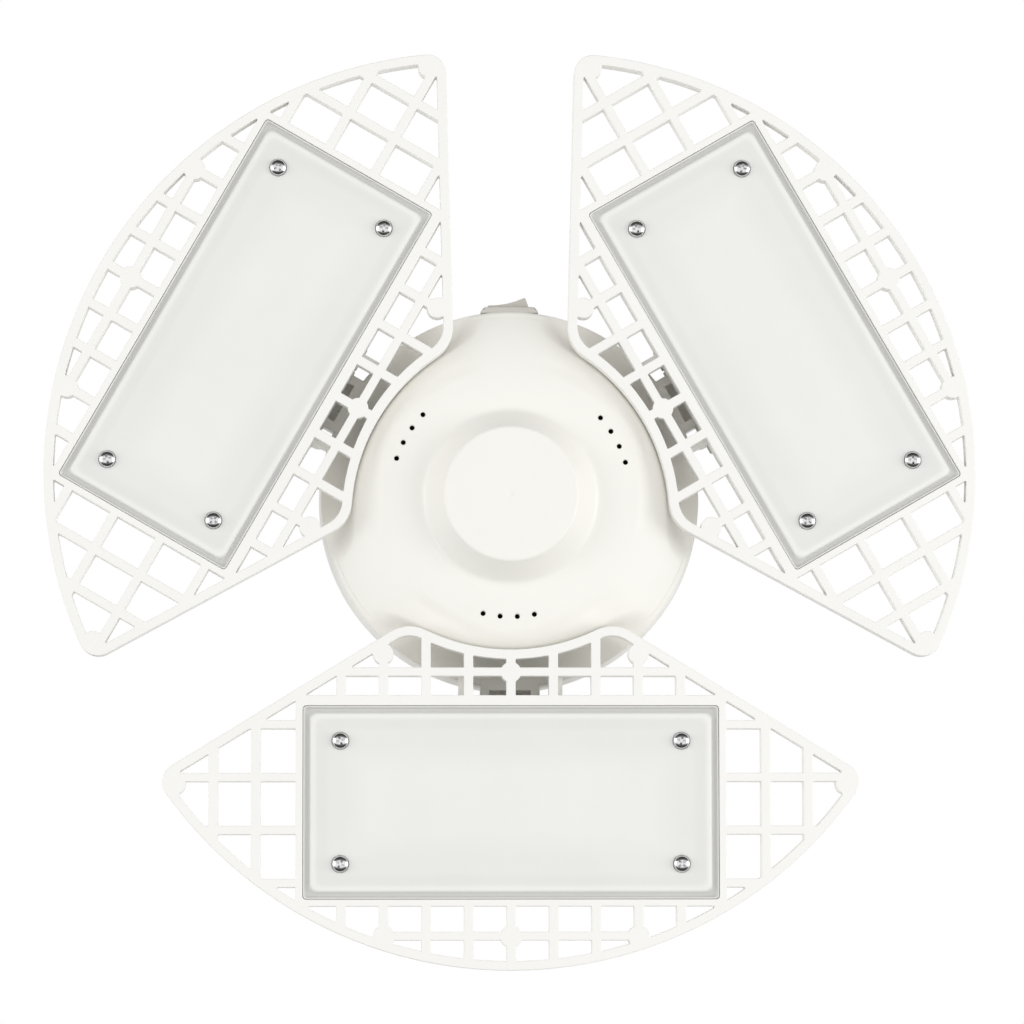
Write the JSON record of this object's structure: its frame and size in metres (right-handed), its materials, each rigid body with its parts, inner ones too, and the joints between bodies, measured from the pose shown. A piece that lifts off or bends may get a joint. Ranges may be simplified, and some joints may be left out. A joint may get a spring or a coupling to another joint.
{
  "type": "deformable garage light",
  "caption": "Screw-base ceiling light: round hub with a side rocker switch and folding lattice wings, each with an LED tray under a frosted lens.",
  "frame": {"origin": "tip of the screw base's centre contact, on the lamp's axis", "axes": "+Z along the lamp's axis towards the lamp holder; the light faces -Z; +Y through the rocker switch; one wing points to -Y"},
  "size_m": [0.3354, 0.3305, 0.1045],
  "materials": {
    "white_housing": "fine satin moulded, slightly warm white",
    "white_lattice": "fine satin moulded, slightly warm white",
    "frosted_lens": "frosted translucent white",
    "chrome_screw": "bright plated",
    "plated_screw": "zinc plated",
    "hinge_steel": "zinc plated",
    "spring_steel": "hardened, oiled",
    "nylon_washer": "natural nylon",
    "grommet_rubber": "soft light grey",
    "base_metal": "bright rolled",
    "contact_metal": "tinned brass",
    "black_insulator": "glassy black",
    "circuit_board": "solder mask",
    "component_dark": "moulded",
    "capacitor_sleeve": "shrink sleeve",
    "choke_ferrite": "coated ferrite",
    "terminal_metal": "bright",
    "wire_sleeve": "insulation",
    "switch_plastic": "fine satin, light grey",
    "rocker_plastic": "fine satin, light grey",
    "led_board_aluminium": "white solder mask",
    "led_phosphor": "yellow phosphor"
  },
  "bodies": {
    "hub": {"hub_front_shell": "white_housing", "hub_rear_cover": "white_housing", "cover_screws": "plated_screw", "screw_shell": "base_metal", "base_insulator": "black_insulator", "centre_contact": "contact_metal", "driver_board": "circuit_board", "board_screws": "plated_screw", "transformer": "component_dark", "capacitors": "capacitor_sleeve", "choke": "choke_ferrite", "driver_chips": "component_dark", "switch_housing": "switch_plastic", "switch_terminals": "terminal_metal", "hub_wires": "wire_sleeve", "hub_grommets": "grommet_rubber"},
    "rocker": {"switch_rocker": "rocker_plastic"},
    "wing_a": {"wing_a_frame": "white_lattice", "wing_a_lens": "frosted_lens", "wing_a_led_board": "led_board_aluminium", "wing_a_led_chips": "led_phosphor", "wing_a_lens_screws": "chrome_screw", "wing_a_hinge_bolt": "hinge_steel", "wing_a_hinge_nut": "hinge_steel", "wing_a_friction_washers": "nylon_washer", "wing_a_spring_washers": "spring_steel", "wing_a_grommet": "grommet_rubber"},
    "wing_b": {"wing_b_frame": "white_lattice", "wing_b_lens": "frosted_lens", "wing_b_led_board": "led_board_aluminium", "wing_b_led_chips": "led_phosphor", "wing_b_lens_screws": "chrome_screw", "wing_b_hinge_bolt": "hinge_steel", "wing_b_hinge_nut": "hinge_steel", "wing_b_friction_washers": "nylon_washer", "wing_b_spring_washers": "spring_steel", "wing_b_grommet": "grommet_rubber"},
    "wing_c": {"wing_c_frame": "white_lattice", "wing_c_lens": "frosted_lens", "wing_c_led_board": "led_board_aluminium", "wing_c_led_chips": "led_phosphor", "wing_c_lens_screws": "chrome_screw", "wing_c_hinge_bolt": "hinge_steel", "wing_c_hinge_nut": "hinge_steel", "wing_c_friction_washers": "nylon_washer", "wing_c_spring_washers": "spring_steel", "wing_c_grommet": "grommet_rubber"}
  },
  "joints": [
    {"name": "wing_a_fold", "type": "hinge", "parent": "hub", "child": "wing_a", "pos_m": [0, -0.076, -0.075], "axis": [-1, 0, 0], "range_deg": [0, 90]},
    {"name": "wing_b_fold", "type": "hinge", "parent": "hub", "child": "wing_b", "pos_m": [0.06582, 0.038, -0.075], "axis": [0.5, -0.866, 0], "range_deg": [0, 90]},
    {"name": "wing_c_fold", "type": "hinge", "parent": "hub", "child": "wing_c", "pos_m": [-0.06582, 0.038, -0.075], "axis": [0.5, 0.866, 0], "range_deg": [0, 90]},
    {"name": "rocker_tilt", "type": "hinge", "parent": "hub", "child": "rocker", "pos_m": [0, 0.0674, -0.0727], "axis": [0, 0, 1], "range_deg": [0, 24]}
  ]
}
